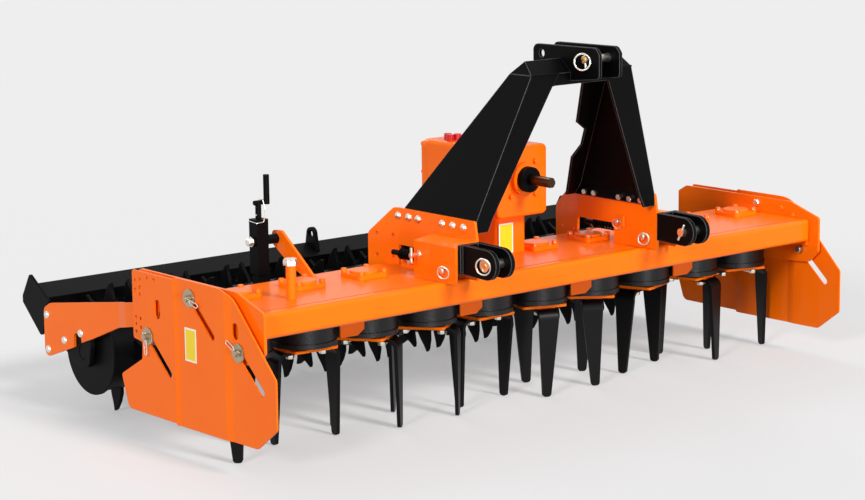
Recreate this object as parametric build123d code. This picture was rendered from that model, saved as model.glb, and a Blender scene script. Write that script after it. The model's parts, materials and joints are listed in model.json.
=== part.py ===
from build123d import *
import os
from math import cos, hypot, radians, sin, tan

os.makedirs("parts", exist_ok=True)

# Mounted power harrow, 2.5 m wide, with a toothed packer roller.
# X runs across the machine, Y from the tractor end to the roller, Z up. Sizes in mm.
# Y counts from the line of rotors while the pieces are made; they move to mid-length on export.

# Rotor line
ROTOR_COUNT = 10
ROTOR_PITCH = 250.0
# Angle of each rotor's pair of tines as it was parked, from X, in degrees
ROTOR_ANGLES = (45, 176, 127, 130, 2, 71, 54, 19, 106, 162)
HOUSING_R = 105.0
HOUSING_FOOT_R = 109.0
HOUSING_FOOT_H = 16.0
HOUSING_BOTTOM = 317.0
HOUSING_BORE_R = 32.0
HOUSING_BORE_DEPTH = 30.0
CARRIER_SIDE = 165.0
CARRIER_CORNER = 10.0
CARRIER_TOP = 312.0
CARRIER_T = 9.0
STUB_GAP = 0.3
TINE_T = 12.0
TINE_FACE_R = 117.0
TINE_BEND_R = 34.0
TINE_ROOT_R = 22.0
TINE_W = 72.0
TINE_TAPER_Z = 262.0
# Where the two edges of the tip lie across the tine, the straighter edge first
TINE_TIP = (24.0, -6.0)
TINE_TIP_R = 11.0

# Gear trough, lid and front rail
RAIL_END = 25.0
RAIL_HALF = ROTOR_COUNT * ROTOR_PITCH / 2 - RAIL_END
RAIL_TOP = 500.0
RAIL_H = 81.0
RAIL_FRONT = -268.0
RAIL_REAR = -168.0
RAIL_LIP = -234.0
RAIL_T = 8.0
RAIL_R = 14.0
TROUGH_BOTTOM = 405.0
TROUGH_REAR = 138.0
TROUGH_REAR_R = 34.0
TROUGH_FRONT_R = 12.0
LID_T = 12.0
LID_GROOVE = 8.0
FLANGE_T = 10.0
FLANGE_FRONT = -258.0
FLANGE_REAR = 150.0
COVER_SIDE = 115.0
COVER_CORNER = 14.0
COVER_T = 14.0
COVER_CAP_R = 47.0
COVER_CAP_H = 9.0
COVER_CAP_CHAMFER = 3.0
# Guards hang half-way between two rotors, in every other gap
GUARD_COUNT = 4
GUARD_W = 96.0
GUARD_T = 6.0
GUARD_Y = -90.0
GUARD_BOTTOM = 335.0
GUARD_CHAMFER = 26.0
FILLER_X = -1016.0
FILLER_Y = -135.0
FILLER_R = 16.0
FILLER_TOP = 626.0
FILLER_CAP_R = 20.0
FILLER_CAP_H = 18.0

# End plates: outline as (y, z, corner radius)
END_T = 10.0
END_OUTLINE = (
    (402, 533, 6), (362, 556, 12), (-165, 556, 40), (-306, 510, 12), (-306, 386, 12),
    (-262, 342, 20), (-100, 332, 20), (190, 318, 20), (335, 318, 20), (402, 380, 16),
)
PIVOT_Y = 222.0
PIVOT_Z = 431.0
PIVOT_R = 18.0

# Plates beside the end plates, from the inside out
ARM_T = 10.0
ARM_CLEAR = 5.0
ARM_OFFSET = 10.0
ARM_FRONT_X = RAIL_HALF + FLANGE_T + END_T + ARM_CLEAR
ARM_REAR_X = ARM_FRONT_X - ARM_OFFSET
PANEL_CLEAR = 6.0
PANEL_STEP_FRONT = 6.0
PANEL_STEP_REAR = 5.0

# Side deflectors: outline as (y, z, corner radius)
DEFLECTOR_T = 6.0
DEFLECTOR_OUTLINE = (
    (362, 558, 8), (131, 558, 0), (125, 564, 0), (-151, 564, 150), (-389, 323, 15), (-389, 170, 15),
    (-289, 95, 20), (125, 92, 0), (131, 98, 0), (405, 98, 28), (442, 205, 12), (317, 274, 10), (313, 330, 8),
    (364, 337, 8),
)
# The plate is joggled: inner face of each panel, and the two sloped strips between them
PANEL_MIDDLE_X = ARM_FRONT_X + ARM_T + PANEL_CLEAR
PANEL_FRONT_X = PANEL_MIDDLE_X - PANEL_STEP_FRONT
PANEL_REAR_X = PANEL_MIDDLE_X + PANEL_STEP_REAR
JOGGLE_FRONT = (-168.0, -136.0)
JOGGLE_REAR = (108.0, 130.0)
# Guide pins as (y, z, inner face of the panel they hold)
GUIDE_PINS = (
    (44.0, 511.0, PANEL_MIDDLE_X), (278.0, 354.0, PANEL_REAR_X), (-203.0, 378.0, PANEL_FRONT_X),
)
SLOT_TRAVEL = 155.0
SLOT_TURN = 41.7
SLOT_W = 24.0
PIN_R = 10.0
PIN_OUT = 20.0
COLLAR_R = 17.0
WASHER_R = 29.0
WASHER_T = 4.5
WASHER_GAP = 0.5
# Oval holes as (y, z, width, length)
OVALS = ((222.0, 449.0, 32.0, 62.0), (-185.0, 441.0, 34.0, 52.0))
SMALL_HOLE_R = 6.0
SMALL_HOLES = (
    (345, 525), (318, 530), (347, 495), (320, 506), (321, 483), (276, 541), (238, 541),
    (347, 406), (321, 405), (346, 384), (320, 376), (347, 360),
)

# Gearbox and input shaft
BOX_HALF = 112.0
BOX_FRONT = -75.0
BOX_REAR = 290.0
BOX_BOTTOM = 632.0
BOX_TOP = 872.0
BOX_R = 20.0
REAR_COVER_T = 45.0
REAR_COVER_INSET = 5.0
REAR_COVER_R = 28.0
REAR_PLATE_T = 20.0
REAR_PLATE_INSET = 35.0
PEDESTAL_HALF = 66.0
PEDESTAL_FRONT = -22.0
PEDESTAL_REAR = 130.0
PEDESTAL_R = 22.0
PTO_Z = 762.0
NECK_R = 56.0
NECK_FRONT = -95.0
SEAL_R = 43.0
SEAL_FRONT = -117.0
PTO_R = 17.4
PTO_FRONT = -220.0
PTO_INNER = -78.0
PTO_GAP = 0.3
SPLINE_COUNT = 6
SPLINE_LENGTH = 76.0
SPLINE_W = 8.6
SPLINE_DEPTH = 2.7
BREATHER_R = 13.0
BREATHER_H = 21.0
BREATHER_SPOTS = ((-88.0, 196.0), (-56.0, 196.0), (-72.0, 228.0))

# Hitch brackets on the deck: outline of the main plate as (y, z, corner radius)
BRACKET_IN = 400.0
BRACKET_T = 10.0
BRACKET_FRONT = -312.0
BRACKET_OUTLINE = (
    (-312, 500, 0), (-312, 612, 6), (-299, 690, 8), (105, 690, 20), (217, 598, 20), (220, 580, 0),
    (220, 465, 8), (139, 465, 0), (139, 500, 0),
)
# The plate's rear part is bent outward
BRACKET_BEND_Y = 80.0
BRACKET_BEND = 9.5
BRACKET_HOLES = ((181, 596), (109, 596), (181, 523), (109, 523))
# Arch over a bearing cover
ARCH_FRONT = -103.0
ARCH_REAR = 84.0
ARCH_TOP = 567.0
ARCH_R = 9.0
# Fork housing on the outer side of the plate
HOOD_OUT = 500.0
HOOD_REAR = -104.0
HOOD_T = 9.0
HOOD_CLEAR = 11.0
HOOD_FALL = 14.0

# Lower link forks
FORK_X = 440.0
FORK_HALF = 40.0
FORK_EAR_T = 16.0
FORK_PLATE_OUT = 490.0
FORK_PLATE_T = 13.0
FORK_LOW = 532.0
FORK_HIGH = 626.0
LINK_Y = -436.0
LINK_Z = 576.0
LINK_EYE_R = 48.0
LINK_R = 14.0
LINK_GAP = 0.3
LINK_OVERHANG = 14.0
LINK_HEAD_R = 21.0
LINK_HEAD_T = 8.0
SHANK_HALF = 18.0
SHANK_H = 42.0
SHANK_REAR = -200.0
ROD_R = 9.0
ROD_Z = 547.0
ROD_REAR = 78.0
ROD_GAP = 0.5

# Top link pin and the tower's top below it
TOP_PIN_Y = -445.0
TOP_PIN_Z = 1193.0
TOP_PIN_R = 12.7
TOP_PIN_HALF = 68.0
TOP_HOLE_R = 13.0
TOWER_DROP = 47.0

# Tower: level sections of a leg as (z, inner x, outer x, front y, rear y)
TOWER_T = 10.0
LEG_FOOT = (650.0, 352.0, 400.0, -300.0, 94.0)
LEG_KNEE = (690.0, 332.0, 400.0, -300.0, 65.0)
LEG_TOP = (TOP_PIN_Z - TOWER_DROP, 104.0, 222.0, -366.0, -262.0)
LEG_OPEN = 60.0
# Relief in the edge of a leg's rear flange as (x, z), and the depth it is cut over
LEG_NOTCH = ((100, 936), (213, 936), (267, 907), (290, 849), (276, 802), (100, 802))
LEG_NOTCH_Y = (-200.0, 60.0)
HEAD_DEPTH = 40.0
HEAD_RISE = 43.0
HEAD_TOP_Y = -317.0

# Top link plates: outline as (y, height from the pin, corner radius)
LINK_PLATE_IN = 39.0
LINK_PLATE_T = 12.0
LINK_PLATE_OUTLINE = (
    (-187, -27, 10), (-187, 35, 22), (-482, 38, 22), (-499, 17, 10), (-499, -62, 14),
    (-355, -76, 0), (-290, -53, 0), (-280, -38, 0), (-250, -27, 0),
)
FREE_HOLE_Y = -228.0
FREE_HOLE_RISE = 5.0

# Levelling bar and its two screw jacks
JACK_X = 840.0
JACK_Y = 277.0
JACK_SIDE = 45.0
JACK_WALL = 5.0
JACK_LOW = 497.0
JACK_TOP = 680.0
JACK_CAP = 8.0
JACK_STUB_Z = 607.0
JACK_STUB_R = 16.0
JACK_STUB_OUT = 8.0
CRANK_NECK_R = 10.0
CRANK_Z = 733.0
CRANK_ARM_R = 8.0
CRANK_REACH = 34.0
CRANK_TAIL = 16.0
CRANK_GRIP_R = 10.0
CRANK_TOP = 822.0
JACK_PLATE_IN = 760.0
JACK_PLATE_T = 10.0
JACK_PLATE_OUTLINE = (
    (72, 500, 0), (137, 500, 0), (210, 530, 30), (302, 588, 16), (302, 632, 16), (252, 636, 20),
)
BAR_SHORT = 25.0
BAR_HALF = RAIL_HALF - BAR_SHORT
BAR_FRONT = 262.0
BAR_T = 8.0
BAR_SHELF = 30.0
BAR_LOW = 230.0
BAR_TOP = 310.0
UPRIGHT_SIDE = 34.0
UPRIGHT_TOP = 625.0

# Roller arms: outline as (y, z, corner radius)
ARM_JOG = (440.0, 490.0)
ARM_EYE_R = 41.0
ARM_OUTLINE = (
    (222, 472, 0), (396, 442, 40), (925, 360, 20), (966, 338, 22), (968, 165, 24), (787, 228, 12),
    (725, 256, 12), (669, 275, 30), (495, 343, 40), (405, 361, 30), (222, 390, 0),
)
ARM_NOTCH = (754.0, 258.0, 25.0)
ARM_NOTCH_DEPTH = 60.0
PIVOT_GAP = 0.3

# Packer roller and what hangs it
ROLLER_Y = 737.0
ROLLER_Z = 220.0
HANGER_T = 18.0
DRUM_R = 140.0
DRUM_WALL = 8.0
DISC_R = 149.0
DISC_T = 8.0
DISC_CLEAR = 9.0
DRUM_HALF = ARM_REAR_X - HANGER_T - DISC_CLEAR - DISC_T
AXLE_R = 25.0
AXLE_SHORT = 1.0
AXLE_GAP = 0.3
TOOTH_ROWS = 20
TOOTH_END = 84.0
TOOTH_PITCH = 2 * (DRUM_HALF - TOOTH_END) / (TOOTH_ROWS - 1)
TEETH_PER_ROW = 8
TOOTH_T = 12.0
TOOTH_SINK = 3.0
# Tooth outline as (radius, angle from the tip in degrees): front edge, tip, back edge
TOOTH_OUTLINE = (
    (140, 9.0), (166, 5.2), (195, 1.4), (220, 0.0), (213, -3.2), (186, -10.0), (158, -16.5), (140, -19.0),
)
HANGER_OUTLINE = (
    (688, 245, 16), (702, 308, 16), (764, 312, 16), (874, 268, 16), (874, 226, 16), (806, 182, 20),
    (756, 166, 20), (704, 172, 24),
)

# Scraper beam behind the roller
BEAM_Y = 1036.0
BEAM_Z = 342.0
BEAM_TURN = 22.3
BEAM_SIDE = 95.0
BEAM_WALL = 6.0
FIN_T = 8.0
FIN_OUTLINE = ((1070, 440, 10), (948, 362, 10), (1001, 226, 14), (1122, 334, 5), (1122, 356, 5))
BLADE_W = 70.0
BLADE_T = 6.0
BLADE_END_R = 150.0
LUG_X = -60.0
LUG_T = 15.0
LUG_Y = 1034.0
LUG_Z = 440.0
LUG_R = 25.0
LUG_HOLE_R = 14.0
LUG_FOOT = 44.0

# The part's origin is under the middle of its box
Y_MIDDLE = (min(p[0] for p in LINK_PLATE_OUTLINE) + max(p[0] for p in FIN_OUTLINE)) / 2


def outline(corners):
    """Closed outline with a fillet at each corner, from rows of (u, v, radius)."""
    points = [(u, v) for u, v, _ in corners]
    return make_face(FilletPolyline(*points, radius=[r for _, _, r in corners], close=True))


def polygon(points):
    """Closed outline with sharp corners."""
    return make_face(Polyline(*points, close=True))


def side_plate(face, x0, x1):
    """A (y, z) outline carried along X from x0 to x1."""
    return Pos(x0, 0, 0) * extrude(Plane.YZ * face, amount=x1 - x0)


def front_plate(face, y0, y1):
    """An (x, z) outline carried along Y from y0 to y1."""
    return Pos(0, y1, 0) * extrude(Plane.XZ * face, amount=y1 - y0)


def plan_plate(face, z0, z1):
    """An (x, y) outline carried up from z0 to z1."""
    return Pos(0, 0, z0) * extrude(face, amount=z1 - z0)


def block(x0, x1, y0, y1, z0, z1):
    """A box between two corners."""
    return Pos((x0 + x1) / 2, (y0 + y1) / 2, (z0 + z1) / 2) * Box(x1 - x0, y1 - y0, z1 - z0)


def rod_x(r, x0, x1, y, z):
    """A round bar along X."""
    return Pos((x0 + x1) / 2, y, z) * Rot(0, 90, 0) * Cylinder(r, x1 - x0)


def rod_y(r, y0, y1, x, z):
    """A round bar along Y."""
    return Pos(x, (y0 + y1) / 2, z) * Rot(90, 0, 0) * Cylinder(r, y1 - y0)


def rod_z(r, z0, z1, x, y):
    """A round bar along Z."""
    return Pos(x, y, (z0 + z1) / 2) * Cylinder(r, z1 - z0)


def other_side(piece):
    """The same piece on the other side of the machine."""
    return mirror(piece, about=Plane.YZ)


def group(pieces):
    """Like pieces that don't touch, kept as one node."""
    return Compound([solid for piece in pieces for solid in piece.solids()])


def rotor_x(index):
    """Place of a rotor along the trough."""
    return (index - (ROTOR_COUNT - 1) / 2) * ROTOR_PITCH


def tine(hand):
    """Flat bar bent down from a bolted root; hand +1 or -1 sets which edge runs straighter."""
    top = CARRIER_TOP - CARRIER_T
    low = top - TINE_T
    inner = TINE_FACE_R - TINE_T
    half = TINE_W / 2
    section = outline((
        (TINE_ROOT_R, top, 0), (TINE_FACE_R, top, TINE_BEND_R), (TINE_FACE_R, 0, 0), (inner, 0, 0),
        (inner, low, TINE_BEND_R - TINE_T), (TINE_ROOT_R, low, 0),
    ))
    straight, swept = TINE_TIP
    shape = outline((
        (hand * half, top + TINE_T, 0), (hand * half, TINE_TAPER_Z, half), (hand * straight, 0, TINE_TIP_R),
        (hand * swept, 0, TINE_TIP_R), (-hand * half, TINE_TAPER_Z, half), (-hand * half, top + TINE_T, 0),
    ))
    return front_plate(section, -half, half) & side_plate(shape, 0, TINE_FACE_R + TINE_T)


def rotor(index):
    """Square carrier plate with its stub shaft and two opposite tines."""
    hand = -1 if index % 2 else 1
    plate = extrude(RectangleRounded(CARRIER_SIDE, CARRIER_SIDE, CARRIER_CORNER), amount=CARRIER_T)
    body = Pos(0, 0, CARRIER_TOP - CARRIER_T) * plate
    stub_top = HOUSING_BOTTOM + HOUSING_BORE_DEPTH - 5
    body += rod_z(HOUSING_BORE_R - STUB_GAP, CARRIER_TOP, stub_top, 0, 0)
    blade = tine(hand)
    body += [blade, Rot(0, 0, 180) * blade]
    return Pos(rotor_x(index), 0, 0) * Rot(0, 0, ROTOR_ANGLES[index]) * body


def rotor_housings():
    """The drums under the trough that carry the rotor shafts."""
    drums = []
    for index in range(ROTOR_COUNT):
        x = rotor_x(index)
        drum = rod_z(HOUSING_R, HOUSING_BOTTOM, TROUGH_BOTTOM, x, 0)
        drum += rod_z(HOUSING_FOOT_R, HOUSING_BOTTOM, HOUSING_BOTTOM + HOUSING_FOOT_H, x, 0)
        drum -= rod_z(HOUSING_BORE_R, HOUSING_BOTTOM, HOUSING_BOTTOM + HOUSING_BORE_DEPTH, x, 0)
        drums.append(drum)
    return group(drums)


def gear_trough():
    """Closed gear case with a bolting flange at each end."""
    top = RAIL_TOP - LID_T
    section = outline((
        (RAIL_REAR, top, 0), (RAIL_REAR, TROUGH_BOTTOM, TROUGH_FRONT_R),
        (TROUGH_REAR, TROUGH_BOTTOM, TROUGH_REAR_R), (TROUGH_REAR, top, 0),
    ))
    trough = side_plate(section, -RAIL_HALF, RAIL_HALF)
    flange = block(
        RAIL_HALF, RAIL_HALF + FLANGE_T, FLANGE_FRONT, FLANGE_REAR, TROUGH_BOTTOM, RAIL_TOP - 2
    )
    return trough + [flange, other_side(flange)]


def front_rail():
    """Folded channel along the front of the trough, open to the rear, with a short top lip."""
    low = RAIL_TOP - RAIL_H
    inner = max(RAIL_R - RAIL_T, 1)
    section = outline((
        (RAIL_LIP, RAIL_TOP, 0), (RAIL_FRONT, RAIL_TOP, RAIL_R), (RAIL_FRONT, low, RAIL_R), (RAIL_REAR, low, 0),
        (RAIL_REAR, low + RAIL_T, 0), (RAIL_FRONT + RAIL_T, low + RAIL_T, inner),
        (RAIL_FRONT + RAIL_T, RAIL_TOP - RAIL_T, inner), (RAIL_LIP, RAIL_TOP - RAIL_T, 0),
    ))
    return side_plate(section, -RAIL_HALF, RAIL_HALF)


def bearing_covers():
    """Square bolted covers over the rotor shafts."""
    covers = []
    for index in range(ROTOR_COUNT):
        flange = extrude(RectangleRounded(COVER_SIDE, COVER_SIDE, COVER_CORNER), amount=COVER_T)
        cap = rod_z(COVER_CAP_R, COVER_T, COVER_T + COVER_CAP_H, 0, 0)
        cap = chamfer(cap.edges().group_by(Axis.Z)[-1], COVER_CAP_CHAMFER)
        covers.append(Pos(rotor_x(index), 0, RAIL_TOP) * (flange + cap))
    return group(covers)


def rotor_guards():
    """Stone guards that hang between pairs of drums."""
    half = GUARD_W / 2
    guards = []
    for gap in range(GUARD_COUNT):
        x = rotor_x(2 * gap + 1.5)
        face = polygon((
            (x - half, TROUGH_BOTTOM), (x - half, GUARD_BOTTOM), (x + half - GUARD_CHAMFER, GUARD_BOTTOM),
            (x + half, GUARD_BOTTOM + GUARD_CHAMFER * 0.7), (x + half, TROUGH_BOTTOM),
        ))
        guards.append(front_plate(face, GUARD_Y - GUARD_T, GUARD_Y))
    return group(guards)


def oil_filler():
    """Filler tube with its screw cap."""
    tube = rod_z(FILLER_R, RAIL_TOP, FILLER_TOP - FILLER_CAP_H, FILLER_X, FILLER_Y)
    return tube + rod_z(FILLER_CAP_R, FILLER_TOP - FILLER_CAP_H, FILLER_TOP, FILLER_X, FILLER_Y)


def end_plate():
    """Right end plate with the stub the roller arm turns on."""
    x0 = RAIL_HALF + FLANGE_T
    plate = side_plate(outline(END_OUTLINE), x0, x0 + END_T)
    return plate + rod_x(PIVOT_R, x0 + END_T, ARM_FRONT_X + ARM_T + 3, PIVOT_Y, PIVOT_Z)


def guide_pins():
    """Right-hand pins, collars and washers the deflector slides on."""
    x0 = RAIL_HALF + FLANGE_T + END_T
    pins = []
    for y, z, inner in GUIDE_PINS:
        outer = inner + DEFLECTOR_T
        pin = rod_x(PIN_R, x0, outer + PIN_OUT, y, z)
        pin += rod_x(COLLAR_R, x0, inner - WASHER_GAP, y, z)
        pin += rod_x(WASHER_R, outer + WASHER_GAP, outer + WASHER_GAP + WASHER_T, y, z)
        pins.append(pin)
    return group(pins)


def deflector():
    """Right-hand side plate, joggled twice, with its guide slots and holes."""
    y0 = min(p[0] for p in DEFLECTOR_OUTLINE)
    y1 = max(p[0] for p in DEFLECTOR_OUTLINE) + 10
    z1 = max(p[1] for p in DEFLECTOR_OUTLINE) + 10
    line = (
        (PANEL_FRONT_X, y0), (PANEL_FRONT_X, JOGGLE_FRONT[0]), (PANEL_MIDDLE_X, JOGGLE_FRONT[1]),
        (PANEL_MIDDLE_X, JOGGLE_REAR[0]), (PANEL_REAR_X, JOGGLE_REAR[1]), (PANEL_REAR_X, y1),
    )
    back = tuple((x + DEFLECTOR_T, y) for x, y in reversed(line))
    band = plan_plate(polygon(line + back), 0, z1)
    face = outline(DEFLECTOR_OUTLINE)
    for y, z, _ in GUIDE_PINS:
        turn = radians(SLOT_TURN)
        middle = Pos(y - SLOT_TRAVEL / 2 * cos(turn), z - SLOT_TRAVEL / 2 * sin(turn))
        face -= middle * Rot(0, 0, SLOT_TURN) * SlotCenterToCenter(SLOT_TRAVEL, SLOT_W)
    for y, z, width, length in OVALS:
        face -= Pos(y, z) * Rot(0, 0, 90) * SlotOverall(length, width)
    for y, z in SMALL_HOLES:
        face -= Pos(y, z) * Circle(SMALL_HOLE_R)
    return band & side_plate(face, PANEL_FRONT_X - 10, PANEL_REAR_X + DEFLECTOR_T + 10)


def gearbox_housing():
    """Gear housing with rounded corners and the neck of the input shaft."""
    body = block(-BOX_HALF, BOX_HALF, BOX_FRONT, BOX_REAR, BOX_BOTTOM, BOX_TOP)
    body = fillet(body.edges().filter_by(Axis.Y), BOX_R)
    body = fillet(body.faces().sort_by(Axis.Y)[0].edges(), BOX_R / 2)
    body += rod_y(NECK_R, NECK_FRONT, BOX_FRONT + BOX_R, 0, PTO_Z)
    return body - rod_y(PTO_R + PTO_GAP, NECK_FRONT, PTO_INNER + 2, 0, PTO_Z)


def gearbox_rear_cover():
    """Cover of the change gears on the rear face, with its cap plate."""
    middle = (BOX_TOP + BOX_BOTTOM) / 2
    inset = 0
    rear = BOX_REAR
    cover = []
    for thick, step in ((REAR_COVER_T, REAR_COVER_INSET), (REAR_PLATE_T, REAR_PLATE_INSET)):
        inset += step
        rear += thick
        face = RectangleRounded(2 * (BOX_HALF - inset), BOX_TOP - BOX_BOTTOM - 2 * inset, REAR_COVER_R)
        plate = Pos(0, rear, middle) * extrude(Plane.XZ * face, amount=thick)
        cover.append(fillet(plate.edges().group_by(Axis.Y)[-1], REAR_PLATE_T / 2))
    return cover[0] + cover[1]


def gearbox_pedestal():
    """Column between the deck and the gearbox."""
    column = block(-PEDESTAL_HALF, PEDESTAL_HALF, PEDESTAL_FRONT, PEDESTAL_REAR, RAIL_TOP, BOX_BOTTOM)
    return fillet(column.edges().filter_by(Axis.Z), PEDESTAL_R)


def gearbox_breathers():
    """Plug caps on top of the housing."""
    return group([rod_z(BREATHER_R, BOX_TOP, BOX_TOP + BREATHER_H, x, y) for x, y in BREATHER_SPOTS])


def input_seal():
    """Seal carrier around the input shaft."""
    ring = rod_y(SEAL_R, SEAL_FRONT, NECK_FRONT, 0, PTO_Z)
    return ring - rod_y(PTO_R + PTO_GAP, SEAL_FRONT, NECK_FRONT, 0, PTO_Z)


def pto_shaft():
    """Input shaft with its splined end."""
    shaft = rod_y(PTO_R, PTO_FRONT, PTO_INNER, 0, PTO_Z)
    shaft = chamfer(shaft.edges().group_by(Axis.Y)[0], 2)
    groove = block(
        -SPLINE_W / 2, SPLINE_W / 2, PTO_FRONT, PTO_FRONT + SPLINE_LENGTH, PTO_R - SPLINE_DEPTH, PTO_R + 2
    )
    cuts = [Pos(0, 0, PTO_Z) * Rot(0, 360 / SPLINE_COUNT * k, 0) * groove for k in range(SPLINE_COUNT)]
    return shaft - cuts


def hitch_bracket():
    """Right bracket: a plate bent at the rear, arched over a cover, with the fork's housing outside it."""
    y0 = min(p[0] for p in BRACKET_OUTLINE)
    y1 = max(p[0] for p in BRACKET_OUTLINE)
    z1 = max(p[1] for p in BRACKET_OUTLINE)
    bent = BRACKET_IN + (y1 - BRACKET_BEND_Y) * tan(radians(BRACKET_BEND))
    line = ((BRACKET_IN, y0), (BRACKET_IN, BRACKET_BEND_Y), (bent, y1))
    back = tuple((x + BRACKET_T, y) for x, y in reversed(line))
    face = outline(BRACKET_OUTLINE)
    arch = RectangleRounded(ARCH_REAR - ARCH_FRONT, 2 * (ARCH_TOP - RAIL_TOP), ARCH_R)
    face -= Pos((ARCH_FRONT + ARCH_REAR) / 2, RAIL_TOP) * arch
    for y, z in BRACKET_HOLES:
        face -= Pos(y, z) * Circle(SMALL_HOLE_R)
    bracket = plan_plate(polygon(line + back), 0, z1) & side_plate(face, BRACKET_IN, bent + BRACKET_T)
    x0 = BRACKET_IN + BRACKET_T
    x1 = HOOD_OUT - HOOD_T
    ceiling = LINK_Z + SHANK_H / 2 + HOOD_CLEAR
    inside = ((x0, RAIL_TOP), (x0, ceiling + HOOD_FALL), (x1, ceiling), (x1, RAIL_TOP))
    roof = ceiling + HOOD_T
    outside = ((x0, RAIL_TOP), (x0, roof + HOOD_FALL), (HOOD_OUT, roof), (HOOD_OUT, RAIL_TOP))
    hood = front_plate(polygon(outside), BRACKET_FRONT, HOOD_REAR)
    hood -= front_plate(polygon(inside), BRACKET_FRONT, HOOD_REAR - HOOD_T)
    hood -= rod_y(ROD_R + ROD_GAP, HOOD_REAR - HOOD_T, HOOD_REAR, FORK_X, ROD_Z)
    return bracket + hood


def lower_fork():
    """Right lower link fork with the shank and spring rod that sit in the bracket."""
    x0, x1 = FORK_X - FORK_HALF, FORK_X + FORK_HALF
    front = BRACKET_FRONT - FORK_PLATE_T
    fork = block(x0, FORK_PLATE_OUT, front, BRACKET_FRONT, FORK_LOW, FORK_HIGH)
    face = polygon((
        (front, FORK_LOW), (LINK_Y, LINK_Z - LINK_EYE_R), (LINK_Y, LINK_Z + LINK_EYE_R), (front, FORK_HIGH),
    ))
    face += Pos(LINK_Y, LINK_Z) * Circle(LINK_EYE_R)
    face -= Pos(LINK_Y, LINK_Z) * Circle(LINK_R + LINK_GAP)
    fork += [side_plate(face, x0, x0 + FORK_EAR_T), side_plate(face, x1 - FORK_EAR_T, x1)]
    low, high = LINK_Z - SHANK_H, LINK_Z + SHANK_H / 2
    fork += block(FORK_X - SHANK_HALF, FORK_X + SHANK_HALF, BRACKET_FRONT, SHANK_REAR, low, high)
    return fork + rod_y(ROD_R, SHANK_REAR, ROD_REAR, FORK_X, ROD_Z)


def link_pin():
    """Right lower link pin with its head on the outer side."""
    x0, x1 = FORK_X - FORK_HALF, FORK_X + FORK_HALF
    pin = rod_x(LINK_R, x0 - LINK_OVERHANG, x1 + LINK_HEAD_T, LINK_Y, LINK_Z)
    return pin + rod_x(LINK_HEAD_R, x1 + LINK_GAP, x1 + LINK_HEAD_T, LINK_Y, LINK_Z)


def leg_section(row, wall, reach):
    """Level section of a tower leg, or of the room inside it when wall and reach are given."""
    z, x_in, x_out, y0, y1 = row
    face = Rectangle(x_out - wall - x_in + reach, y1 - y0 - 2 * wall)
    return Pos((x_in - reach + x_out - wall) / 2, (y0 + y1) / 2, z) * face


def tower_leg():
    """Right tower leg: a channel open to the inside, upright at the foot and then leaning in and forward."""
    leg = None
    for wall, reach in ((0, 0), (TOWER_T, LEG_OPEN)):
        foot, knee, top = (leg_section(row, wall, reach) for row in (LEG_FOOT, LEG_KNEE, LEG_TOP))
        shape = loft([foot, knee], ruled=True) + loft([knee, top], ruled=True)
        leg = leg - shape if leg else shape
    return leg - front_plate(polygon(LEG_NOTCH), *LEG_NOTCH_Y)


def tower_head():
    """Cross head that joins the two legs: a folded box between them under a ridged cap."""
    knee_z, knee_in, knee_out, knee_front, knee_rear = LEG_KNEE
    top_z, top_in, top_out, top_front, top_rear = LEG_TOP
    low_z = top_z - HEAD_DEPTH
    cap_z = top_z + HEAD_RISE
    down = HEAD_DEPTH / (top_z - knee_z)
    up = HEAD_RISE / (top_z - knee_z)
    low_in = top_in + (knee_in - top_in) * down
    low_front = top_front + (knee_front - top_front) * down
    low_rear = top_rear + (knee_rear - top_rear) * down
    cap_out = top_out - (knee_out - top_out) * up
    tie = side_plate(
        polygon(((low_front, low_z), (top_front, top_z), (top_rear, top_z), (low_rear, low_z))), -low_in, low_in
    )
    tie &= front_plate(
        polygon(((-low_in, low_z), (low_in, low_z), (top_in, top_z), (-top_in, top_z))), top_front, low_rear
    )
    ridge = polygon(((top_front, top_z), (HEAD_TOP_Y, cap_z), (top_rear, top_z)))
    slope = polygon(((-top_out, top_z), (top_out, top_z), (cap_out, cap_z), (-cap_out, cap_z)))
    cap = side_plate(ridge, -top_out, top_out) & front_plate(slope, top_front, top_rear)
    return tie + cap


def top_link_plates(head):
    """The two plates that hold the top link pin, seated on the cross head."""
    face = Pos(0, TOP_PIN_Z) * outline(LINK_PLATE_OUTLINE)
    face -= Pos(TOP_PIN_Y, TOP_PIN_Z) * Circle(TOP_HOLE_R)
    face -= Pos(FREE_HOLE_Y, TOP_PIN_Z + FREE_HOLE_RISE) * Circle(TOP_HOLE_R)
    plate = side_plate(face, LINK_PLATE_IN, LINK_PLATE_IN + LINK_PLATE_T) - head
    return group([plate, other_side(plate)])


def jack_bracket():
    """Right bracket plate of a levelling jack."""
    return side_plate(outline(JACK_PLATE_OUTLINE), JACK_PLATE_IN, JACK_PLATE_IN + JACK_PLATE_T)


def jack_tube():
    """Right jack tube with its cap and cross stubs."""
    half = JACK_SIDE / 2
    bore = half - JACK_WALL
    tube = block(JACK_X - half, JACK_X + half, JACK_Y - half, JACK_Y + half, JACK_LOW, JACK_TOP)
    tube -= block(JACK_X - bore, JACK_X + bore, JACK_Y - bore, JACK_Y + bore, JACK_LOW, JACK_TOP - JACK_CAP)
    tube += rod_x(JACK_STUB_R, JACK_PLATE_IN + JACK_PLATE_T, JACK_X - half, JACK_Y, JACK_STUB_Z)
    return tube + rod_x(JACK_STUB_R, JACK_X + half, JACK_X + half + JACK_STUB_OUT, JACK_Y, JACK_STUB_Z)


def jack_crank():
    """Right crank: screw neck, arm and upright grip."""
    crank = rod_z(CRANK_NECK_R, JACK_TOP, CRANK_Z, JACK_X, JACK_Y)
    crank += rod_x(CRANK_ARM_R, JACK_X - CRANK_REACH, JACK_X + CRANK_TAIL, JACK_Y, CRANK_Z)
    return crank + rod_z(CRANK_GRIP_R, CRANK_Z - CRANK_ARM_R, CRANK_TOP, JACK_X - CRANK_REACH, JACK_Y)


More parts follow.
